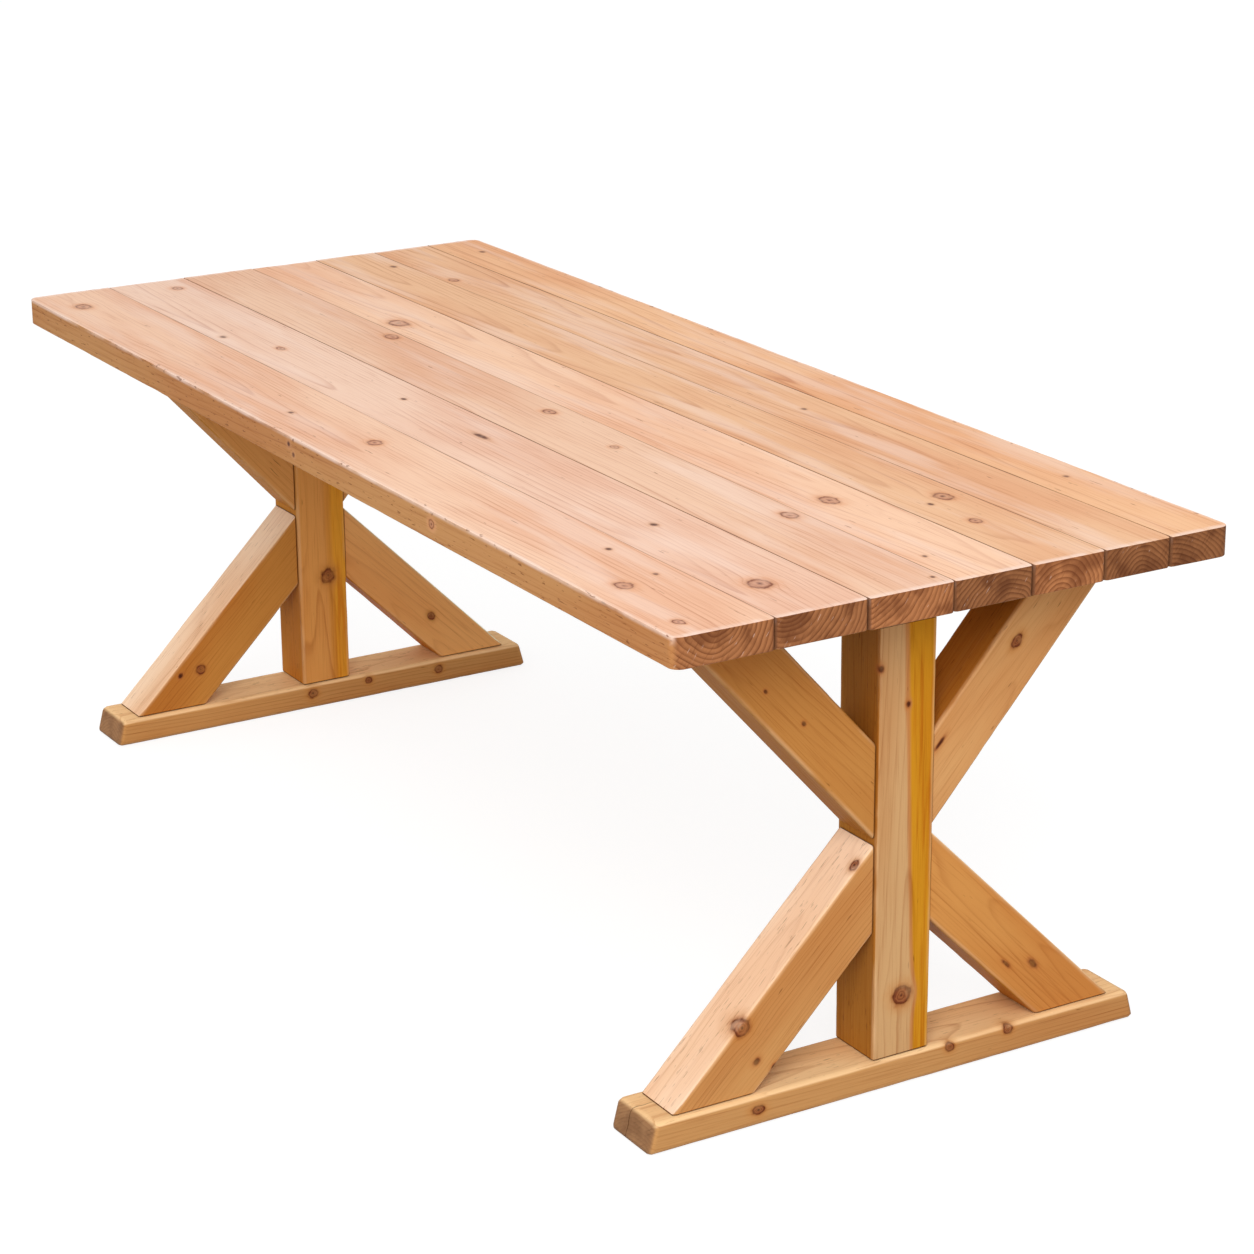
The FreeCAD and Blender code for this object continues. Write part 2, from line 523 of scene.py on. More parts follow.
class PineMaterial:
    """Node material of one board: tones laid over each other along growth rings round its pith."""

    # What the grain wanders and the rings wobble by, in millimetres, and how much the trunk tapers.
    WANDER_MM = 26.0
    WOBBLE_MM = 9.0
    TAPER = 0.018
    # How far and which way each seed moves the patterns.
    SEED_STEP = 71.0
    SEED_WAY = Vector((1.0, 0.37, 0.61))
    # A ring's strength through its year, first and last moment first, and the least of rings and lines.
    SEASONS = ((0.0, 0.0), (1.0, 0.0), (0.35, 0.0), (0.72, 0.35), (0.9, 1.0))
    LEAST_RING = 0.25
    LEAST_LINES = 0.4
    # Distance in radii where no knot is, how uneven a knot's outline is, in radii, and its least cover.
    FAR_RADII = 1000.0
    KNOT_UNEVEN = 0.7
    KNOT_COVER = 0.65
    # How squarely a face looks up, aside, along the grain or into a seam where its tones come in: painted
    # light on upper faces, painted shade on sides and in seams.
    LIT_FACING = Span(0.3, 0.6)
    EXPOSED = Span(0.3, 0.8)
    SHADED_SIDES = Span(0.4, 0.85)
    PITTED = Span(0.5, 0.9)
    SAWN = Span(0.45, 0.85)
    JOINT_RIM = Span(0.15, 0.4)
    INTO_SEAM = Span(0.35, 0.8)
    # Distances in millimetres from an edge, a seam, a seam's end or a crack where their tones come in.
    LONG_RUB_MM = Span(7.0, 2.0)
    END_RUB_MM = Span(14.0, 4.0)
    DENT_MM = Span(9.0, 4.0)
    SEAM_MM = Span(1.1, 0.3)
    MOUTH_MM = Span(10.0, 7.0)
    CRACK_MM = Span(1.3, 0.5)
    # Where a crack lies beside the middle, and how far it winds.
    CRACK_ASIDE_MM = -5.0
    CRACK_WAVE_MM = 12.0
    # How much the tones show that are alike in each finish.
    BAND_RIM_SHARE = 0.7
    BAND_SHARE = 0.95
    VEIN_SHARE = 0.55
    FIBRE_SHARE = 0.28
    FLECK_SHARE = 0.55
    SEAM_SHARES = (0.15, 0.75)
    MOUTH_SHARE = 0.85
    CRACK_SHARE = 0.65
    JOINT_SHARE = 0.7
    # Sawn ends: the saw marks' slant, size and octaves, then where each mark comes in and how much it shows.
    SAW_SLANT = 0.6
    SAW_MM = (12.0, 2.5, 18.0)
    SAW_DETAIL = 3.0
    SAW_DARK = Span(0.52, 0.75)
    SAW_PALE = Span(0.33, 0.22)
    EARLY_WOOD = Span(0.25, 0.75)
    LATE_WOOD = Span(0.0, 0.8)
    SAW_SHARE = 0.35
    PALE_PART = 0.7
    EARLY_PART = 0.6
    LEAST_PATCHES = 0.3
    # Relief of the grain, and how the roughness follows the fibres.
    BUMP_STRENGTH = 0.12
    BUMP_MM = 0.4
    FIBRE_RANGE = Span(0.3, 0.7)
    SMOOTHER, ROUGHER = 0.06, 0.1

    def __init__(self, board: Board) -> None:
        """Starts the board's material with its place, its grain and its rings.

        Args:
            board: Board that the material is for.
        """
        self.board, self.cut, self.finish = board, board.cut, board.finish
        self.half = board.size / 2 / MM
        self.offset = self.SEED_WAY * self.SEED_STEP * (board.seed + 1)
        self.material = bpy.data.materials.new(f"{board.finish.name}_{board.name}")
        self.tree = emptied(self.material)
        surface = add_node(self.tree, "ShaderNodeTexCoord", {})
        self.normal = surface["Normal"]
        centred = {"Vector": surface["Object"], "Location": board.middle,
                   "Rotation": board.axes().to_euler(), "Scale": (MM, MM, MM)}
        self.place = self.add("ShaderNodeMapping", centred, vector_type="TEXTURE")
        self.spot = add_node(self.tree, SPLIT, {0: self.place})
        self.up = self.add(SPLIT, {0: self.normal}, "Z")
        self.side = self.size_of(self.facing(board.across()))
        self.fibre = self.drawn(FIBRES)
        self.bent, self.near, self.near_pin = self.bent_place()
        self.line, self.season = self.rings()

    def add(self, kind: str, inputs: dict, out: int | str = 0, **settings: object) -> Socket:
        """Adds a node to this material, as add_node does, and returns one of its outputs."""
        return add_node(self.tree, kind, inputs, **settings)[out]

    def size_of(self, value: Socket) -> Socket:
        """Returns a value without its sign."""
        return self.add(MATH, {0: value}, operation="ABSOLUTE")

    def facing(self, direction: Vector) -> Socket:
        """Returns the cosine of the angle from the surface's normal to a direction."""
        return self.add(VECTOR_MATH, {0: self.normal, 1: direction}, "Value", operation="DOT_PRODUCT")

    def drawn(self, figure: Figure, out: str = "Fac") -> Socket:
        """Draws a cloudy pattern.

        Args:
            figure: The pattern.
            out: Fac for one value, Color for three.

        Returns:
            The pattern, about 0.5 on average.
        """
        shrink = Vector((1 / figure.draw, 1.0, 1.0)) / figure.size_mm
        inputs = {"Vector": self.place, "Location": self.offset, "Scale": shrink}
        inputs = {"Vector": self.add("ShaderNodeMapping", inputs), "Scale": 1.0, "Detail": figure.detail}
        return self.add("ShaderNodeTexNoise", inputs, out)

    def marked(self, figure: Figure, share: Share, tone: Tone, way: Way = Way.STAIN) -> Layer:
        """Returns a layer that follows a cloudy pattern, a stain unless told otherwise."""
        return Layer(self.drawn(figure), figure.span, share, tone, way)

    def lay(self, base: Tone, layers: Sequence[Layer]) -> Tone:
        """Lays tones over a base.

        Args:
            base: Colour to start from.
            layers: Tones, from the lowest up.

        Returns:
            The colour with its layers.
        """
        for layer in layers:
            inputs = layer.span.over(layer.pattern, layer.share)
            share = self.add(MAP_RANGE, inputs, interpolation_type="SMOOTHSTEP")
            inputs = {0: share, MIX_A: base, MIX_B: layer.tone}
            way = layer.way.value
            base = self.add("ShaderNodeMix", inputs, MIX_RESULT, data_type="RGBA", blend_type=way)
        return base

    def bent_place(self) -> tuple[Socket, Share, Share]:
        """Moves the place by the grain's wander and round each knot.

        Returns:
            The place moved on, and how many radii off the nearest knot and the nearest pin knot are.
        """
        inputs = {0: self.drawn(WANDER, "Color"), 1: CROSSWISE * self.WANDER_MM, 2: self.place}
        bent = self.add(VECTOR_MATH, inputs, operation="MULTIPLY_ADD")
        near: dict[bool, Share] = {False: self.FAR_RADII, True: self.FAR_RADII}
        for knot in self.cut.knots:
            inputs = {"Place": self.place, "Bent": bent, "Near": near[knot.is_pin()],
                      "Middle": knot.middle(self.board.size), "Squash": knot.squash(), "Radius": knot.radius}
            bend = add_node(self.tree, "ShaderNodeGroup", inputs, node_tree=knot_group())
            bent, near[knot.is_pin()] = bend["Bent"], bend["Near"]
        return bent, near[False], near[True]

    def rings(self) -> tuple[Socket, Socket]:
        """Draws the growth rings.

        Returns:
            The late wood lines from 0 to 1, and how far the year's growth is.
        """
        pith = Vector((0.0, *self.cut.pith)) + CROSSWISE * self.WANDER_MM / 2
        apart = self.add(VECTOR_MATH, {0: self.bent, 1: pith}, operation="SUBTRACT")
        level = self.add(VECTOR_MATH, {0: apart, 1: CROSSWISE}, operation="MULTIPLY")
        distance = self.add(VECTOR_MATH, {0: level}, "Value", operation="LENGTH")
        lengthwise = self.add(SPLIT, {0: self.bent}, "X")
        for pattern, factor in ((lengthwise, self.TAPER), (self.drawn(WOBBLE), self.WOBBLE_MM)):
            distance = self.add(MATH, {0: pattern, 1: factor, 2: distance}, operation="MULTIPLY_ADD")
        years = self.add(MATH, {0: distance, 1: self.finish.ring_mm}, operation="DIVIDE")
        season = self.add(MATH, {0: years}, operation="FRACT")
        year = self.add(MATH, {0: years}, operation="FLOOR")
        stops = [(moment, (strength, strength, strength, 1.0)) for moment, strength in self.SEASONS]
        line = self.add(RAMP, {"Fac": season}, stops=stops)
        luck = self.add("ShaderNodeTexWhiteNoise", {"W": year}, noise_dimensions="1D")
        weight = self.add(MAP_RANGE, WHOLE.over(luck, least=self.LEAST_RING))
        return self.add(MATH, {0: line, 1: weight}, operation="MULTIPLY"), season

    def arris(self, edge: Edge) -> Socket:
        """Measures how far the nearest edge of the main face is: the top's upper rim, or both faces' edges.

        Args:
            edge: Which edges count.

        Returns:
            The distance in millimetres.
        """
        axis, number = edge.value
        outward, aside, sign = self.spot["Z"], self.spot[axis], sum(self.board.seams)
        if not self.board.seams:
            outward = self.size_of(outward)
        if edge is Edge.END or not self.board.seams:
            aside, sign = self.size_of(aside), -1
        below = self.add(MATH, {0: self.half.z, 1: outward}, operation="SUBTRACT")
        inside = self.add(MATH, {0: aside, 1: sign, 2: self.half[number]}, operation="MULTIPLY_ADD")
        return self.add(MATH, {0: below, 1: inside}, operation="MAXIMUM")

    def faces(self) -> list[Layer]:
        """Paints shade on the sides, and light and sheen, partly bleaching, on the upper faces.

        Returns:
            The layers.
        """
        finish, cut = self.finish, self.cut
        depth = cut.amber if cut.lit_top_amber is None else cut.lit_top_amber
        lit_top_tone = between(finish.lit_top_pale, finish.lit_top_amber, depth, cut.gain)
        # Painted shade on the sides; painted light and sheen, partly bleaching, on the faces that look up.
        return [Layer(self.side, self.SHADED_SIDES, 1.0, linear(finish.side, cut.gain)),
                Layer(self.up, self.LIT_FACING, cut.lit_top, lit_top_tone)]

    def resin_band(self) -> list[Layer]:
        """Draws the resin-rich band with its border and veins.

        Returns:
            The layers, none for a board without a band.
        """
        streak = self.cut.streak
        if not streak:
            return []
        spot = add_node(self.tree, SPLIT, {0: self.bent})
        leaning = {0: spot["X"], 1: -streak.lean, 2: spot["Y"]}
        band = self.add(MATH, leaning, operation="MULTIPLY_ADD")
        start, full = streak.start + self.WANDER_MM / 2, streak.full + self.WANDER_MM / 2
        rim, core = Span(start, (start + full) / 2), Span((start + full) / 2, full)
        vein_share = self.add(MAP_RANGE, core.over(band, self.VEIN_SHARE))
        return [Layer(band, rim, self.BAND_RIM_SHARE, linear(streak.rim)),
                Layer(band, core, self.BAND_SHARE, linear(streak.colour)),
                self.marked(RESIN_VEINS, vein_share, linear(self.finish.cloud))]

    def grain(self) -> list[Layer]:
        """Marks the faces along the grain with clouds, lines, fibres, scuffs, flecks and pits.

        Returns:
            The layers.
        """
        finish, line, fleck = self.finish, linear(self.finish.line), linear(self.finish.fleck)
        least = self.LEAST_LINES * finish.line_share
        clear = CLEAR_LINES.span.over(self.drawn(CLEAR_LINES), finish.line_share, least)
        line_share = self.add(MAP_RANGE, clear)
        scuff_share = self.add(MAP_RANGE, self.EXPOSED.over(self.up, finish.scuff_share))
        pit_share = self.add(MAP_RANGE, self.PITTED.over(self.side, finish.pit_share))
        return [self.marked(CLOUDS, finish.cloud_share, linear(finish.cloud)),
                Layer(self.line, WHOLE, line_share, line, Way.STAIN),
                Layer(self.fibre, FIBRES.span, self.FIBRE_SHARE, line, Way.STAIN),
                self.marked(SCUFFS, scuff_share, linear(finish.scuff), Way.COVER),
                self.marked(FLECKS, self.FLECK_SHARE, fleck),
                self.marked(PITS, pit_share, fleck)]

    def rubbed_edges(self) -> list[Layer]:
        """Rubs the edges pale in places, and dents the rim of the top.

        Returns:
            The layers.
        """
        finish, scuff, long_edges = self.finish, linear(self.finish.scuff), self.arris(Edge.LONG)
        rub_share = self.add(MAP_RANGE, RUBBED.span.over(self.drawn(RUBBED), finish.rub_share))
        layers = [Layer(long_edges, self.LONG_RUB_MM, rub_share, scuff)]
        if self.board.seams:
            dent_share = self.add(MAP_RANGE, self.DENT_MM.over(long_edges, finish.pit_share))
            layers += [Layer(self.arris(Edge.END), self.END_RUB_MM, rub_share, scuff),
                       self.marked(DENTS, dent_share, linear(finish.fleck))]
        return layers

    def knots(self, near: Share, tones: KnotTones) -> list[Layer]:
        """Draws knots, uneven in outline and depth.

        Args:
            near: How many radii off the nearest knot is.
            tones: The knots' tone and cover by the distance in radii.

        Returns:
            The layers.
        """
        reach = tones[-1][0]
        uneven = {0: self.drawn(KNOT_OUTLINE), 1: self.KNOT_UNEVEN, 2: near}
        radii = self.add(MATH, uneven, operation="MULTIPLY_ADD")
        outline = Span(self.KNOT_UNEVEN / 2, reach + self.KNOT_UNEVEN / 2)
        share = self.add(MAP_RANGE, outline.over(radii))
        ordered = [tones[0], tones[-1], *tones[1:-1]]
        colours = [(radius / reach, linear(code)) for radius, code, _ in ordered]
        covers = [(radius / reach, (cover, cover, cover, 1.0)) for radius, _, cover in ordered]
        tone, cover = (self.add(RAMP, {"Fac": share}, stops=stops) for stops in (colours, covers))
        patchy = KNOT_PATCHES.span.over(self.drawn(KNOT_PATCHES), least=self.KNOT_COVER)
        return [Layer(cover, WHOLE, self.add(MAP_RANGE, patchy), tone)]

    def sawn_end(self) -> Tone:
        """Colours an end across the grain, with bold rings, dark patches and slanting saw marks.

        Returns:
            The colour.
        """
        finish, gain, rings = self.finish, self.cut.gain * self.cut.end_gain, self.finish.end_share
        slanting = {"Vector": self.place, "Angle": self.SAW_SLANT}
        turned = self.add("ShaderNodeVectorRotate", slanting, rotation_type="X_AXIS")
        shrink = [1 / size for size in self.SAW_MM]
        inputs = {"Vector": turned, "Location": self.offset, "Scale": shrink}
        inputs = {"Vector": self.add("ShaderNodeMapping", inputs), "Scale": 1.0, "Detail": self.SAW_DETAIL}
        saw = self.add("ShaderNodeTexNoise", inputs, "Fac")
        dark, early = linear(finish.end_dark, gain), self.EARLY_PART * rings
        return self.lay(linear(finish.end_light, gain), [
            self.marked(END_PATCHES, self.LEAST_PATCHES + early, dark, Way.COVER),
            Layer(self.season, self.EARLY_WOOD, early, dark),
            Layer(self.line, self.LATE_WOOD, rings, dark),
            Layer(saw, self.SAW_DARK, self.SAW_SHARE, dark),
            Layer(saw, self.SAW_PALE, self.PALE_PART * rings, linear(finish.scuff)),
        ])

    def ends(self) -> list[Layer]:
        """Puts the sawn ends on, and painted shade round those that stand against other pieces.

        Returns:
            The layers.
        """
        square = self.size_of(self.facing(self.board.along))
        # Painted shade where an end stands against another piece.
        rim = Layer(square, self.JOINT_RIM, self.JOINT_SHARE, linear(self.finish.gap_shade))
        return [Layer(square, self.SAWN, 1.0, self.sawn_end()), *([rim] if self.board.joined else [])]

    def seam_shade(self) -> list[Layer]:
        """Paints shade on the sides that lie in a seam, and in the mouths at the seam's ends.

        Returns:
            The layers, none for a board without seams.
        """
        end, half, layers = self.half.x, self.half.y, []
        for sign in self.board.seams:
            seam = Span(sign * (half - self.SEAM_MM.start), sign * (half - self.SEAM_MM.full))
            mouth = Span(end - self.MOUTH_MM.start, end - self.MOUTH_MM.full)
            least, most = self.SEAM_SHARES
            patchy = SEAM_PATCHES.span.over(self.drawn(SEAM_PATCHES), most, least)
            closing = mouth.over(self.size_of(self.spot["X"]), self.MOUTH_SHARE)
            inward, gap_shade = self.facing(self.board.across() * sign), linear(self.finish.gap_shade)
            # Painted shade on the seam's sides and in its mouths near the ends.
            layers += [Layer(self.spot["Y"], seam, self.add(MAP_RANGE, patchy), gap_shade),
                       Layer(inward, self.INTO_SEAM, self.add(MAP_RANGE, closing), gap_shade)]
        return layers

    def drying_crack(self) -> list[Layer]:
        """Draws the thin dark crack that runs in from the low end.

        Returns:
            The layers, none for a sound board.
        """
        low, length = -self.half.x, self.cut.crack_mm
        if not length:
            return []
        wave = {0: self.drawn(CRACK_WAVE), 1: self.CRACK_WAVE_MM, 2: self.spot["Z"]}
        aside = self.add(MATH, wave, operation="MULTIPLY_ADD")
        apart = self.size_of(self.add(MATH, {0: aside, 1: self.CRACK_ASIDE_MM}, operation="SUBTRACT"))
        fading = Span(low + length, low + length / 2)
        share = self.add(MAP_RANGE, fading.over(self.spot["X"], self.CRACK_SHARE))
        return [Layer(apart, self.CRACK_MM, share, linear(self.finish.gap_shade))]

    def build(self) -> bpy.types.Material:
        """Lays all the tones, from the bare wood up, and gives them relief and gloss.

        Returns:
            The material.
        """
        finish, cut = self.finish, self.cut
        base = self.lay(between(finish.light, finish.amber, cut.amber, cut.gain), [
            *self.faces(), *self.resin_band(), *self.grain(), *self.rubbed_edges(),
            *self.knots(self.near, finish.knot_tones), *self.knots(self.near_pin, finish.pin_tones),
            *self.ends(), *self.seam_shade(), *self.drying_crack(),
        ])
        relief = {"Height": self.add(MATH, {0: self.fibre, 1: self.season}, operation="ADD"),
                  "Strength": self.BUMP_STRENGTH, "Distance": self.BUMP_MM * MM}
        least, most = finish.roughness - self.SMOOTHER, finish.roughness + self.ROUGHER
        dull = self.FIBRE_RANGE.over(self.fibre, most, least)
        inputs = {"Base Color": base, "Roughness": self.add(MAP_RANGE, dull),
                  "Specular IOR Level": finish.gloss, "Normal": self.add("ShaderNodeBump", relief)}
        shader = self.add("ShaderNodeBsdfPrincipled", inputs)
        add_node(self.tree, "ShaderNodeOutputMaterial", {"Surface": shader})
        return self.material


def knot_group() -> bpy.types.NodeTree:
    """Makes the node group that bends the grain round one knot, once.

    The grain runs round a knot as water runs round a stone, so a place is drawn to the knot's middle
    line by one over the square of its distance.

    Returns:
        The group.
    """
    name = "pine_knot"
    if name in bpy.data.node_groups:
        return bpy.data.node_groups[name]
    group = bpy.data.node_groups.new(name, "ShaderNodeTree")
    sockets = {"Place": "NodeSocketVector", "Bent": "NodeSocketVector", "Near": "NodeSocketFloat",
               "Middle": "NodeSocketVector", "Squash": "NodeSocketVector", "Radius": "NodeSocketFloat"}
    for label, kind in sockets.items():
        group.interface.new_socket(label, in_out="INPUT", socket_type=kind)
    for label in ("Bent", "Near"):
        group.interface.new_socket(label, in_out="OUTPUT", socket_type=sockets[label])
    given = add_node(group, "NodeGroupInput", {})
    away = add_node(group, VECTOR_MATH, {0: given["Place"], 1: given["Middle"]}, operation="SUBTRACT")[0]
    ball = add_node(group, VECTOR_MATH, {0: away, 1: given["Squash"]}, operation="MULTIPLY")[0]
    far = add_node(group, VECTOR_MATH, {0: ball}, operation="LENGTH")["Value"]
    radii = add_node(group, MATH, {0: far, 1: given["Radius"]}, operation="DIVIDE")[0]
    near = add_node(group, MATH, {0: given["Near"], 1: radii}, operation="MINIMUM")[0]
    square = add_node(group, MATH, {0: radii, 1: 2.0}, operation="POWER")[0]
    held = add_node(group, MATH, {0: square, 1: 1.0}, operation="MAXIMUM")[0]
    grip = add_node(group, MATH, {0: 1.0, 1: held}, operation="DIVIDE")[0]
    aside = add_node(group, VECTOR_MATH, {0: ball, 1: CROSSWISE}, operation="MULTIPLY")[0]
    pull = add_node(group, VECTOR_MATH, {0: aside, "Scale": grip}, operation="SCALE")[0]
    bent = add_node(group, VECTOR_MATH, {0: given["Bent"], 1: pull}, operation="SUBTRACT")[0]
    add_node(group, "NodeGroupOutput", {"Bent": bent, "Near": near})
    return group


@dataclass(frozen=True)
class Rounding:
    """How an edge is rounded.

    Attributes:
        radius: Width of the rounding, in metres.
        segments: Number of faces over it.
    """

    radius: float
    segments: int


class SubAssembly:
    """A part of the table that is made of boards, with the ways of shaping that they share."""

    # Length of the short faces that let a long edge wear unevenly, in metres.
    SLICE_STEP = 16 * MM
    # Waves of the wear along an edge, by millimetres and strength, and what each seed moves them by.
    WEAR_WAVES = ((60.0, 1.0), (17.0, 0.5))
    WEAR_SEED_STEP = 7.3

    def edges(self, bm: bmesh.types.BMesh, test: Callable[[Vector, Vector], bool]) -> Edges:
        """Returns the edges whose two ends pass a test."""
        return [edge for edge in bm.edges if test(edge.verts[0].co, edge.verts[1].co)]

    def edges_along(self, bm: bmesh.types.BMesh, direction: Vector, shortest: float = 0.0) -> Edges:
        """Finds the edges that run along a direction.

        Args:
            bm: Mesh to look at.
            direction: The direction.
            shortest: Length that they are over, in metres.

        Returns:
            The edges.
        """
        def runs_along(start: Vector, end: Vector) -> bool:
            """Tells whether an edge is long enough and runs along the direction."""
            run = end - start
            return run.length > shortest and abs(run.normalized().dot(direction)) > PARALLEL_COSINE

        return self.edges(bm, runs_along)

    def round_edges(self, bm: bmesh.types.BMesh, edges: Edges, rounding: Rounding) -> None:
        """Rounds edges.

        Args:
            bm: Mesh to shape.
            edges: Edges to round.
            rounding: How they are rounded.
        """
        made = bmesh.ops.bevel(bm, geom=edges, offset=rounding.radius, offset_type="OFFSET",
                               segments=rounding.segments, profile=0.5, affect="EDGES", material=-1,
                               clamp_overlap=True)
        for face in made["faces"]:
            face.smooth = True

    def slice_along(self, bm: bmesh.types.BMesh, direction: Vector) -> None:
        """Cuts the long faces into short ones, so that the edges can wear unevenly.

        Args:
            bm: Mesh to cut.
            direction: Direction that the cut edges run in.
        """
        edges = self.edges_along(bm, direction, self.SLICE_STEP)
        longest = max(edge.calc_length() for edge in edges)
        bmesh.ops.subdivide_edges(bm, edges=edges, cuts=int(longest / self.SLICE_STEP), use_grid_fill=True)

    def wear(self, bm: bmesh.types.BMesh, board: Board, reach: float) -> None:
        """Rubs the rounded edges down, unevenly, always inwards.

        Args:
            bm: Mesh to wear.
            board: Board that the mesh is for.
            reach: How far from an edge the wear goes, in metres.
        """
        bm.normal_update()
        offset = X_AXIS * (board.seed * self.WEAR_SEED_STEP)
        for vert in bm.verts:
            if board.edge_distance(vert.co) > reach or board.in_seam(vert.co):
                continue
            rub = sum(strength * noise.noise(vert.co / (length * MM) + offset)
                      for length, strength in self.WEAR_WAVES)
            vert.co -= vert.normal * board.finish.wear_mm * MM * max(0.0, rub)

    def finish(self, bm: bmesh.types.BMesh, board: Board) -> bpy.types.Object:
        """Makes the mesh a piece inside its CAD node's box, dresses it and sets it in the node's place.

        Args:
            bm: Finished mesh, freed here.
            board: Board that it is.

        Returns:
            The new object.
        """
        low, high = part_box(board.node)
        for vert in bm.verts:
            vert.co = [min(max(value, least), most) for value, least, most in zip(vert.co, low, high)]
        bmesh.ops.recalc_face_normals(bm, faces=bm.faces)
        mesh = bpy.data.meshes.new(board.name)
        bm.to_mesh(mesh)
        bm.free()
        piece = bpy.data.objects.new(board.name, mesh)
        bpy.context.scene.collection.objects.link(piece)
        piece.data.materials.append(PineMaterial(board).build())
        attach(piece, BODY)
        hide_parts(board.node)
        return piece


# Knots on the top, in millimetres along the table and across it from the middle.
TOP_KNOTS = (
    Knot(917, -228, 15, 1.2), Knot(664, 48, 12, 1.5), Knot(731, 188, 12, 1.4), Knot(694, -36, 10, 1.5),
    Knot(845, 158, 8), Knot(752, 152, 4), Knot(744, 387, 4), Knot(990, -392, 7), Knot(834, -376, 11, 1.3),
    Knot(694, -315, 4), Knot(815, -318, 3.5), Knot(633, -210, 5), Knot(68, -47, 8, 1.6), Knot(284, -63, 6),
    Knot(130, -196, 5, 4.0), Knot(-113, -195, 4), Knot(80, -342, 10, 1.3), Knot(-133, -372, 4),
    Knot(-543, 17, 14, 1.5), Knot(-466, -34, 10, 1.6), Knot(-494, -218, 6, 1.8), Knot(-613, -264, 5),
    Knot(-929, -375, 12), Knot(256, 279, 4), Knot(-918, 200, 5), Knot(-769, 240, 8), Knot(-938, 388, 5),
    Knot(-970, -187, 8), Knot(934, 12, 3), Knot(1010, -30, 3),
)

# Knots on the front edge of the top, along the table and up from the plank's middle.
FRONT_KNOTS = (
    Knot(-22, 8, 4, 1.2, Face.FRONT), Knot(-8, -5, 3.5, 1.2, Face.FRONT), Knot(420, 2, 6, 1.2, Face.FRONT),
)

# The planks, from the front one to the back one.
PLANK_CUTS = (
    Cut((-14, 40), 0.3, 1.0, end_gain=0.97),
    Cut((-45, 45), 0.0, 0.99, end_gain=0.9, end_step=1.2, top_step=0.3),
    Cut((-80, 70), 0.35, 0.96, end_gain=1.14, end_step=0.3, top_step=0.1),
    Cut((25, -45), 0.45, 1.03, end_gain=0.7, end_step=1.6, top_step=0.4),
    Cut((-15, -28), 0.85, 0.94, end_gain=1.24, end_step=0.6, top_step=0.2),
    Cut((10, -34), 0.85, 0.95, end_gain=0.78, end_step=1.0, top_step=0.3),
    Cut((-60, -85), 0.95, 1.0, end_gain=0.72, end_step=0.2, top_step=0.1),
)


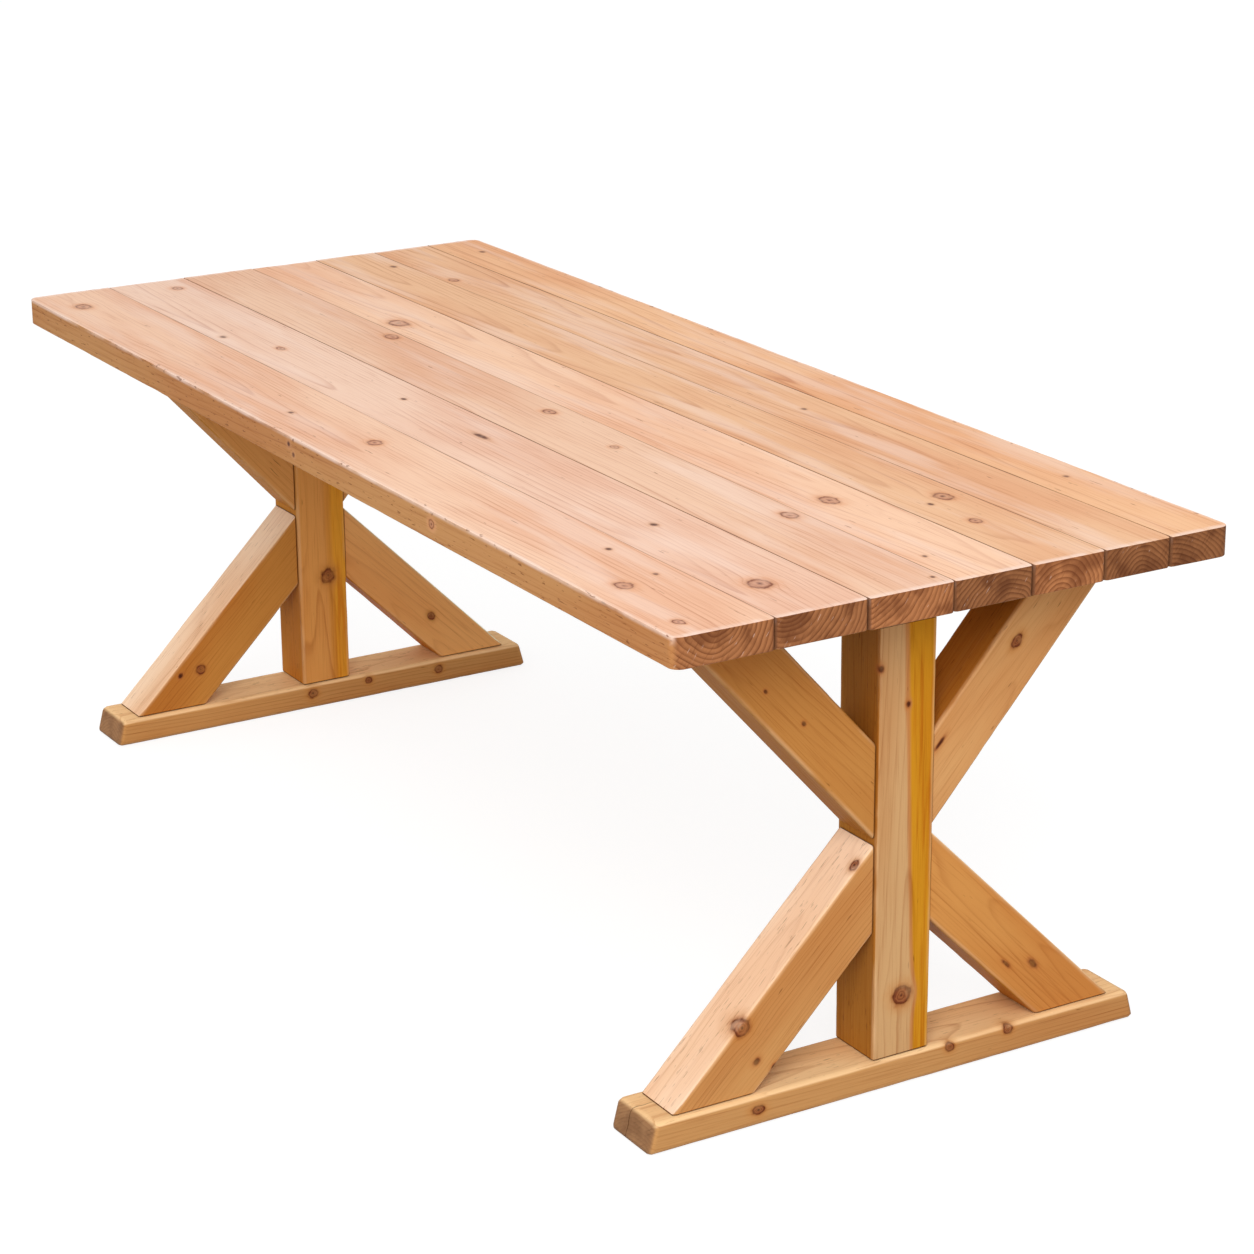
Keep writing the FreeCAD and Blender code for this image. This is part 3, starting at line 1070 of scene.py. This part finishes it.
@dataclass
class PlankTop(SubAssembly):
    """Seven planks side by side, rounded at the rim, eased along their seams."""

    corner: Rounding = Rounding(16 * MM, 6)
    rim: Rounding = Rounding(11 * MM, 5)
    lower_rim: Rounding = Rounding(6 * MM, 3)
    seam: Rounding = Rounding(0.8 * MM, 2)
    near_seam_end: Rounding = Rounding(6 * MM, 4)
    far_seam_end: Rounding = Rounding(1.5 * MM, 4)

    def knots_of(self, index: int, low: Vector, high: Vector) -> list[Knot]:
        """Finds the knots of one plank, measured from its middle.

        Args:
            index: The plank, counted from the front.
            low: Its lowest corner.
            high: Its highest corner.

        Returns:
            The plank's knots.
        """
        middle = (low.y + high.y) / 2 / MM
        found = [replace(knot, aside=knot.aside - middle)
                 for knot in TOP_KNOTS if low.y < knot.aside * MM < high.y]
        return found + (list(FRONT_KNOTS) if index == 0 else [])

    def block(self, low: Vector, high: Vector, seams: Sequence[int]) -> bmesh.types.BMesh:
        """Makes a plank's block with its roundings.

        Args:
            low: Its lowest corner.
            high: Its highest corner.
            seams: Its sides that lie in a seam, as signs.

        Returns:
            The mesh.
        """
        bm = bmesh.new()
        bmesh.ops.create_cube(bm, size=1.0)
        bmesh.ops.scale(bm, vec=high - low, verts=bm.verts)
        bmesh.ops.translate(bm, vec=(low + high) / 2, verts=bm.verts)
        sides = {-1: low.y, 1: high.y}

        def same(first: float, second: float) -> bool:
            """Tells whether two coordinates are the same."""
            return abs(first - second) < SAME_PLACE

        def on_seam(point: Vector) -> bool:
            """Tells whether a point lies on a side in a seam."""
            return any(same(point.y, sides[sign]) for sign in seams)

        def upright(start: Vector, end: Vector) -> bool:
            """Tells whether an edge stands upright."""
            return not same(start.z, end.z)

        def rim_at(height: float) -> Edges:
            """Returns the edges at a height that don't run along a seam."""
            return self.edges(bm, lambda a, b: same(a.z, height) and same(b.z, height)
                              and not (on_seam(a) and on_seam(b)))

        corners = self.edges(bm, lambda a, b: upright(a, b) and not on_seam(a))
        if corners:
            self.round_edges(bm, corners, self.corner)
        for place, rounding in ((high.x, self.near_seam_end), (low.x, self.far_seam_end)):
            mouth = self.edges(bm, lambda a, b: upright(a, b) and on_seam(a) and same(a.x, place))
            self.round_edges(bm, mouth, rounding)
        self.round_edges(bm, rim_at(high.z), self.rim)
        self.round_edges(bm, rim_at(low.z), self.lower_rim)
        eased = self.edges(bm, lambda a, b: on_seam(a) and on_seam(b) and not upright(a, b))
        self.round_edges(bm, eased, self.seam)
        self.slice_along(bm, X_AXIS)
        self.slice_along(bm, Y_AXIS)
        return bm

    def plank(self, index: int, row: Cut) -> bpy.types.Object:
        """Builds one plank.

        Args:
            index: The plank, counted from the front.
            row: What sets it apart, without its knots.

        Returns:
            The plank's object.
        """
        node = f"top_plank_{index + 1}"
        low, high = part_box(node)
        low.x += row.end_step * MM
        high.x -= row.end_step * MM
        high.z -= row.top_step * MM
        seams = [sign for sign in (-1, 1) if 0 <= index + sign < len(PLANK_CUTS)]
        cut = replace(row, knots=self.knots_of(index, low, high))
        board = Board(node, f"plank_{index + 1}", TOP_PINE, cut, (low + high) / 2, X_AXIS, Z_AXIS, high - low,
                      index, seams)
        bm = self.block(low, high, seams)
        self.wear(bm, board, self.rim.radius)
        return self.finish(bm, board)

    def build(self) -> list[bpy.types.Object]:
        """Builds all the planks and returns them."""
        return [self.plank(index, row) for index, row in enumerate(PLANK_CUTS)]


# The near trestle's timber and the far one's, with knots in millimetres from each piece's middle.
RIGHT_CUTS = {
    "foot": Cut((-60, 15), 0.45, 0.94, crack_mm=60.0, lit_top_amber=1.0, knots=(
        Knot(80, 14, 6.5, 1.1), Knot(178, 16, 7, 1.1), Knot(-230, 2, 6.5, 1.5))),
    "bearer": Cut((-60, 15), 0.6, 0.85),
    "post": Cut((-12, -85), 0.0, 0.94, streak=Streak(-2.5, -13.5, "#BE7434", "#CC8C1A", 0.035), knots=(
        Knot(-221, 0, 14, 0.95), Knot(194, -2, 3.5), Knot(250, 42, 4))),
    "lower_front_brace": Cut((-60, 10), 0.52, 1.03, lit_top_amber=0.2, knots=(
        Knot(-75, 40, 11, 1.1), Knot(-97, -14, 4.5), Knot(-87, -44, 4), Knot(184, 32, 6, 1.3, Face.UPPER))),
    "lower_back_brace": Cut((-40, -70), 0.75, 1.13, (Knot(-70, -5, 5, 2.0), Knot(-30, 20, 3, 3.0))),
    # The upper braces get no painted light on their upper faces, as they stand in the top's shade.
    "upper_front_brace": Cut((35, -65), 0.8, 0.94, (Knot(10, 5, 3), Knot(90, 12, 2.5)), lit_top=0.0),
    "upper_back_brace": Cut((-25, -90), 0.3, 1.1, (Knot(60, 14, 7, 1.5), Knot(-110, 24, 3, 4.0)), lit_top=0.0),
}
# The far trestle's high gains paint light on it where the top shades it; its upper braces, as the near ones,
# get no painted light on their upper faces.
LEFT_CUTS = {
    "foot": Cut((-60, 15), 0.55, 1.0, lit_top_amber=1.0, knots=(
        Knot(-30, 6, 8, 1.1), Knot(80, 10, 6, 1.1), Knot(220, 4, 7, 1.1))),
    "bearer": Cut((-60, 15), 0.6, 0.9),
    "post": Cut((20, -80), 0.75, 1.36, streak=Streak(-4.0, -24.0, "#D88E34", "#EAA234"), knots=(
        Knot(-114, -9, 12, 1.1), Knot(188, 27, 6), Knot(117, 0, 4))),
    "lower_front_brace": Cut((-60, -5), 0.9, 1.05, (Knot(-90, 6, 8, 1.1), Knot(-120, 30, 4)), lit_top_amber=0.3),
    "lower_back_brace": Cut((40, -70), 0.5, 1.5, (Knot(-60, 0, 6),)),
    "upper_front_brace": Cut((-35, -65), 0.65, 1.25, lit_top=0.0),
    "upper_back_brace": Cut((25, -90), 0.6, 1.2, lit_top=0.0),
}


@dataclass
class Trestle(SubAssembly):
    """One end frame: a foot, a post, a bearer and four braces, with its sizes in metres."""

    end: End
    seed: int
    cuts: dict[str, Cut]
    brace_width: float = 90 * MM
    foot_inset: float = 12 * MM
    bearer_inset: float = 16 * MM
    beam_edge: Rounding = Rounding(8 * MM, 4)
    beam_end: Rounding = Rounding(8 * MM, 2)
    post_edge: Rounding = Rounding(3 * MM, 4)
    brace_edge: Rounding = Rounding(4.5 * MM, 4)
    joint_end: Rounding = Rounding(3 * MM, 2)

    def prism(self, outline: Sequence[tuple[float, float]], low_x: float, high_x: float) -> bmesh.types.BMesh:
        """Carries an outline along X.

        Args:
            outline: Corners as (y, z), in metres.
            low_x: Where it starts.
            high_x: Where it ends.

        Returns:
            The closed mesh.
        """
        bm = bmesh.new()
        face = bm.faces.new([bm.verts.new((low_x, y, z)) for y, z in outline])
        made = bmesh.ops.extrude_face_region(bm, geom=[face])
        moved = [part for part in made["geom"] if isinstance(part, bmesh.types.BMVert)]
        bmesh.ops.translate(bm, vec=X_AXIS * (high_x - low_x), verts=moved)
        bmesh.ops.recalc_face_normals(bm, faces=bm.faces)
        return bm

    def settle(self, bm: bmesh.types.BMesh, board: Board, edge: Rounding, end: Rounding) -> bpy.types.Object:
        """Rounds a prism's long edges and eases its ends, wears it and finishes it.

        Args:
            bm: The prism.
            board: Board that it is.
            edge: Rounding of the edges along the grain.
            end: Rounding of the edges at the ends.

        Returns:
            The finished object.
        """
        self.round_edges(bm, self.edges_along(bm, board.along), edge)
        sharp = [side for side in bm.edges if side.calc_face_angle(0.0) > SHARP_TURN]
        self.round_edges(bm, sharp, end)
        self.slice_along(bm, board.along)
        self.wear(bm, board, edge.radius)
        return self.finish(bm, board)

    def node(self, piece: str) -> str:
        """Returns the name of a piece's CAD node."""
        return f"{self.end.value}_trestle_{piece}"

    def board(self, piece: str, middle: Vector, along: Vector, size: Vector) -> Board:
        """Describes one piece, whose main face looks along X.

        Args:
            piece: Its name within the trestle.
            middle: Its middle.
            along: Direction of its grain.
            size: Length, width and thickness.

        Returns:
            The board.
        """
        seed = self.seed + list(self.cuts).index(piece)
        name = f"{self.end.value}_{piece}"
        return Board(self.node(piece), name, FRAME_PINE, self.cuts[piece], middle, along, X_AXIS, size, seed,
                     joined=piece not in ("foot", "bearer"))

    def beam(self, piece: str, upper_inset: float, lower_inset: float) -> bpy.types.Object:
        """Builds the foot or the bearer, a beam with sloped ends.

        Args:
            piece: Its name within the trestle.
            upper_inset: How far the ends of its upper face lie inside its length.
            lower_inset: How far the ends of its lower face lie inside its length.

        Returns:
            The beam's object.
        """
        low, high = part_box(self.node(piece))
        outline = [(low.y + lower_inset, low.z), (high.y - lower_inset, low.z),
                   (high.y - upper_inset, high.z), (low.y + upper_inset, high.z)]
        span = high - low
        board = self.board(piece, (low + high) / 2, Y_AXIS, Vector((span.y, span.z, span.x)))
        return self.settle(self.prism(outline, low.x, high.x), board, self.beam_edge, self.beam_end)

    def post(self) -> bpy.types.Object:
        """Builds the post between the foot and the bearer.

        Returns:
            The post's object.
        """
        low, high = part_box(self.node("post"))
        low.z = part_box(self.node("foot"))[1].z
        high.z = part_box(self.node("bearer"))[0].z
        outline = [(low.y, low.z), (high.y, low.z), (high.y, high.z), (low.y, high.z)]
        span = high - low
        board = self.board("post", (low + high) / 2, Z_AXIS, Vector((span.z, span.y, span.x)))
        return self.settle(self.prism(outline, low.x, high.x), board, self.post_edge, self.joint_end)

    def brace(self, level: Level, side: Side) -> bpy.types.Object:
        """Builds one brace.

        Args:
            level: Height that it stands at.
            side: Side of the post that it stands on.

        Returns:
            The brace's object.
        """
        piece = f"{level.value}_{side.value}_brace"
        low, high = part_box(self.node(piece))
        at_post, at_end = (high.y, low.y) if side is Side.FRONT else (low.y, high.y)
        tip, end = (high.z, low.z) if level is Level.LOWER else (low.z, high.z)
        slope = math.atan2(high.z - low.z, high.y - low.y)
        inner = at_end - math.copysign(self.brace_width / math.sin(slope), at_end - at_post)
        heel = tip + math.copysign(self.brace_width / math.cos(slope), end - tip)
        outline = [(at_post, tip), (at_end, end), (inner, end), (at_post, heel)]
        post_joint = Vector((0.0, at_post, (tip + heel) / 2))
        end_joint = Vector((0.0, (at_end + inner) / 2, end))
        rise = post_joint - end_joint if level is Level.LOWER else end_joint - post_joint
        middle = (post_joint + end_joint + X_AXIS * (low.x + high.x)) / 2
        size = Vector((rise.length + self.brace_width, self.brace_width, high.x - low.x))
        board = self.board(piece, middle, rise.normalized(), size)
        return self.settle(self.prism(outline, low.x, high.x), board, self.brace_edge, self.joint_end)

    def build(self) -> list[bpy.types.Object]:
        """Builds the trestle's seven pieces.

        Returns:
            The pieces.
        """
        beams = [self.beam("foot", self.foot_inset, 0.0), self.beam("bearer", 0.0, self.bearer_inset)]
        return [*beams, *(self.brace(level, side) for level in Level for side in Side), self.post()]


@dataclass(frozen=True)
class PlainFinish:
    """A finish of two tones in a cloudy pattern, for pieces that hide in the joints.

    Attributes:
        name: What the finish is.
        light: Its paler tone.
        dark: Its deeper tone.
        grain_mm: Size of the pattern.
        detail: Octaves of the pattern.
        roughness: Roughness where it is pale.
        bloom: How much rougher it is where it is deep.
        metallic: 1 for a metal.
        draw: How much longer the pattern is along X.
        relief: Strength of the bump.
    """

    name: str
    light: str
    dark: str
    grain_mm: float
    detail: float
    roughness: float
    bloom: float = 0.0
    metallic: float = 0.0
    draw: float = 1.0
    relief: float = 0.0

    # Values of the pattern where the finish is pale and deep, and depth of the bump in millimetres.
    TONES = Span(0.3, 0.7)
    RELIEF_MM = 0.5

    def build(self) -> bpy.types.Material:
        """Writes the material.

        Returns:
            The material.
        """
        material = bpy.data.materials.new(self.name)
        tree = emptied(material)
        spot = add_node(tree, "ShaderNodeTexCoord", {})["Object"]
        drawn = add_node(tree, "ShaderNodeMapping", {"Vector": spot, "Scale": (1 / self.draw, 1.0, 1.0)})[0]
        inputs = {"Vector": drawn, "Scale": 1 / (self.grain_mm * MM), "Detail": self.detail}
        grain = add_node(tree, "ShaderNodeTexNoise", inputs)["Fac"]
        stops = [(self.TONES.start, linear(self.light)), (self.TONES.full, linear(self.dark))]
        tone = add_node(tree, RAMP, {"Fac": grain}, stops=stops)["Color"]
        inputs = {"Base Color": tone, "Metallic": self.metallic, "Roughness": self.roughness}
        if self.bloom:
            uneven = WHOLE.over(grain, self.roughness + self.bloom, self.roughness)
            inputs["Roughness"] = add_node(tree, MAP_RANGE, uneven)[0]
        if self.relief:
            bump = {"Height": grain, "Strength": self.relief, "Distance": self.RELIEF_MM * MM}
            inputs["Normal"] = add_node(tree, "ShaderNodeBump", bump)[0]
        shader = add_node(tree, "ShaderNodeBsdfPrincipled", inputs)[0]
        add_node(tree, "ShaderNodeOutputMaterial", {"Surface": shader})
        return material


# Bare sawn pine, dull and straw coloured with fine streaks.
BARE_PINE = PlainFinish("bare_sawn_pine", light="#E3BE8E", dark="#B98A55", grain_mm=4.0, detail=3.0,
                        roughness=0.7, draw=20.0, relief=0.2)
# Zinc plated steel, grey with a faint cloudy bloom.
ZINC = PlainFinish("zinc_plated_steel", light="#B9BBBA", dark="#8F9290", grain_mm=3.0, detail=2.0,
                   roughness=0.3, bloom=0.2, metallic=1.0)


@dataclass
class Joinery:
    """Hidden pieces: tongues, loose tenons and screws, which keep their CAD shapes."""

    wood_nodes: tuple[str, ...] = ("seam_tongues", "brace_tenons")
    steel_nodes: tuple[str, ...] = ("top_screws",)

    def build(self) -> list[bpy.types.Object]:
        """Dresses the hidden CAD nodes.

        Returns:
            Their objects.
        """
        pieces = []
        for finish, nodes in ((BARE_PINE, self.wood_nodes), (ZINC, self.steel_nodes)):
            material = finish.build()
            for node in nodes:
                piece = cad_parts[node]
                piece.data.materials.clear()
                piece.data.materials.append(material)
                pieces.append(piece)
        return pieces


@dataclass(frozen=True)
class Studio:
    """Pale floor, soft light and the camera.

    Attributes:
        eye: Where the camera stands, in metres.
        turn: Its turn about X, Y and Z, in degrees.
        lens_mm: Its focal length.
        sensor_mm: Width of its sensor.
        floor_reach: Half the floor's side, in metres.
        floor_drop: How far the floor lies under the feet, in metres.
        sheet: The floor's colour to the table.
        shadow: How much of the light the eye sees on the floor, as a grey.
        glow: Strength of the floor's own light to the eye.
        sky: Strength of the light from straight above.
        horizon: Strength of the light from the horizon.
        surround: Strength of the white that the eye sees round the table.
        lamp_place: Where the lamp hangs, in metres.
        lamp_size: Its width, in metres.
        lamp_power: Its power, in watts.
    """

    eye: tuple[float, float, float] = (4.2734, -2.4170, 2.0630)
    turn: tuple[float, float, float] = (71.122, 0.427, 59.117)
    lens_mm: float = 96.974
    sensor_mm: float = 36.0
    floor_reach: float = 30.0
    floor_drop: float = 0.5 * MM
    sheet: str = "#C8C8C8"
    shadow: str = "#8C8C8C"
    glow: float = 0.82
    sky: float = 0.74
    horizon: float = 0.68
    surround: float = 1.0
    lamp_place: tuple[float, float, float] = (5.8, -3.9, 5.2)
    lamp_size: float = 4.5
    lamp_power: float = 400.0

    def camera(self) -> None:
        """Sets the camera where the photograph was taken."""
        data = bpy.data.cameras.new("camera")
        data.lens = self.lens_mm
        data.sensor_width = self.sensor_mm
        camera = bpy.data.objects.new("camera", data)
        camera.location = self.eye
        camera.rotation_euler = [math.radians(angle) for angle in self.turn]
        bpy.context.scene.collection.objects.link(camera)
        bpy.context.scene.camera = camera

    def seen(self, tree: bpy.types.NodeTree) -> Socket:
        """Adds a switch for what the eye, a gloss or glass sees.

        Args:
            tree: Tree that gets it.

        Returns:
            1 for what is seen so, 0 for what only lights the table.
        """
        path = add_node(tree, "ShaderNodeLightPath", {})
        direct = {0: path["Is Camera Ray"], 1: path["Is Glossy Ray"]}
        through = {0: add_node(tree, MATH, direct, operation="MAXIMUM")[0], 1: path["Is Transmission Ray"]}
        return add_node(tree, MATH, through, operation="MAXIMUM")[0]

    def paper(self) -> bpy.types.Material:
        """Makes white paper: near white and a little shaded to the eye, a plain pale sheet to the table.

        Returns:
            The material.
        """
        material = bpy.data.materials.new("white_paper_floor")
        tree = emptied(material)
        sheet = add_node(tree, "ShaderNodeBsdfDiffuse", {"Color": linear(self.sheet)})[0]
        shadow = add_node(tree, "ShaderNodeBsdfDiffuse", {"Color": linear(self.shadow)})[0]
        glow = add_node(tree, "ShaderNodeEmission", {"Color": linear(WHITE), "Strength": self.glow})[0]
        lit = add_node(tree, "ShaderNodeAddShader", {0: shadow, 1: glow})[0]
        mixed = add_node(tree, "ShaderNodeMixShader", {0: self.seen(tree), 1: sheet, 2: lit})[0]
        add_node(tree, "ShaderNodeOutputMaterial", {"Surface": mixed})
        return material

    def floor(self) -> None:
        """Lays a floor that looks white and keeps a soft shadow."""
        bm = bmesh.new()
        bmesh.ops.create_grid(bm, x_segments=1, y_segments=1, size=self.floor_reach)
        bmesh.ops.translate(bm, vec=-Z_AXIS * self.floor_drop, verts=bm.verts)
        mesh = bpy.data.meshes.new("floor")
        bm.to_mesh(mesh)
        bm.free()
        mesh.materials.append(self.paper())
        floor = bpy.data.objects.new("floor", mesh)
        bpy.context.scene.collection.objects.link(floor)

    def world(self) -> None:
        """Makes a soft overcast sky and a white surround."""
        world = bpy.data.worlds.new("studio")
        bpy.context.scene.world = world
        tree = emptied(world)
        way = add_node(tree, "ShaderNodeTexCoord", {})["Generated"]
        height = add_node(tree, SPLIT, {0: way})["Z"]
        strength = add_node(tree, MAP_RANGE, WHOLE.over(height, self.sky, self.horizon))[0]
        shades = [{"Color": linear(WHITE), "Strength": light} for light in (strength, self.surround)]
        sky, surround = (add_node(tree, "ShaderNodeBackground", shade)[0] for shade in shades)
        mixed = add_node(tree, "ShaderNodeMixShader", {0: self.seen(tree), 1: sky, 2: surround})[0]
        add_node(tree, "ShaderNodeOutputWorld", {"Surface": mixed})

    def lamp(self) -> None:
        """Hangs one broad soft lamp beyond the near end."""
        data = bpy.data.lights.new("key", "AREA")
        data.shape = "DISK"
        data.size = self.lamp_size
        data.energy = self.lamp_power
        lamp = bpy.data.objects.new("key", data)
        lamp.location = self.lamp_place
        lamp.rotation_euler = Vector(self.lamp_place).to_track_quat("Z", "Y").to_euler()
        bpy.context.scene.collection.objects.link(lamp)

    def build(self) -> None:
        """Sets up the whole studio."""
        bpy.context.scene.view_settings.view_transform = "Standard"
        self.camera()
        self.floor()
        self.world()
        self.lamp()


def main() -> None:
    """Builds the studio and the table in order, and reports each piece."""
    logging.basicConfig(level=logging.INFO, format="%(name)s %(message)s")
    Studio().build()
    near = Trestle(End.RIGHT, seed=20, cuts=RIGHT_CUTS)
    far = Trestle(End.LEFT, seed=40, cuts=LEFT_CUTS)
    for part in (PlankTop(), near, far, Joinery()):
        for piece in part.build():
            finish = piece.data.materials[0].name
            log.info("%s: %d faces in %s", piece.name, len(piece.data.polygons), finish)


if __name__ == "__main__":
    main()
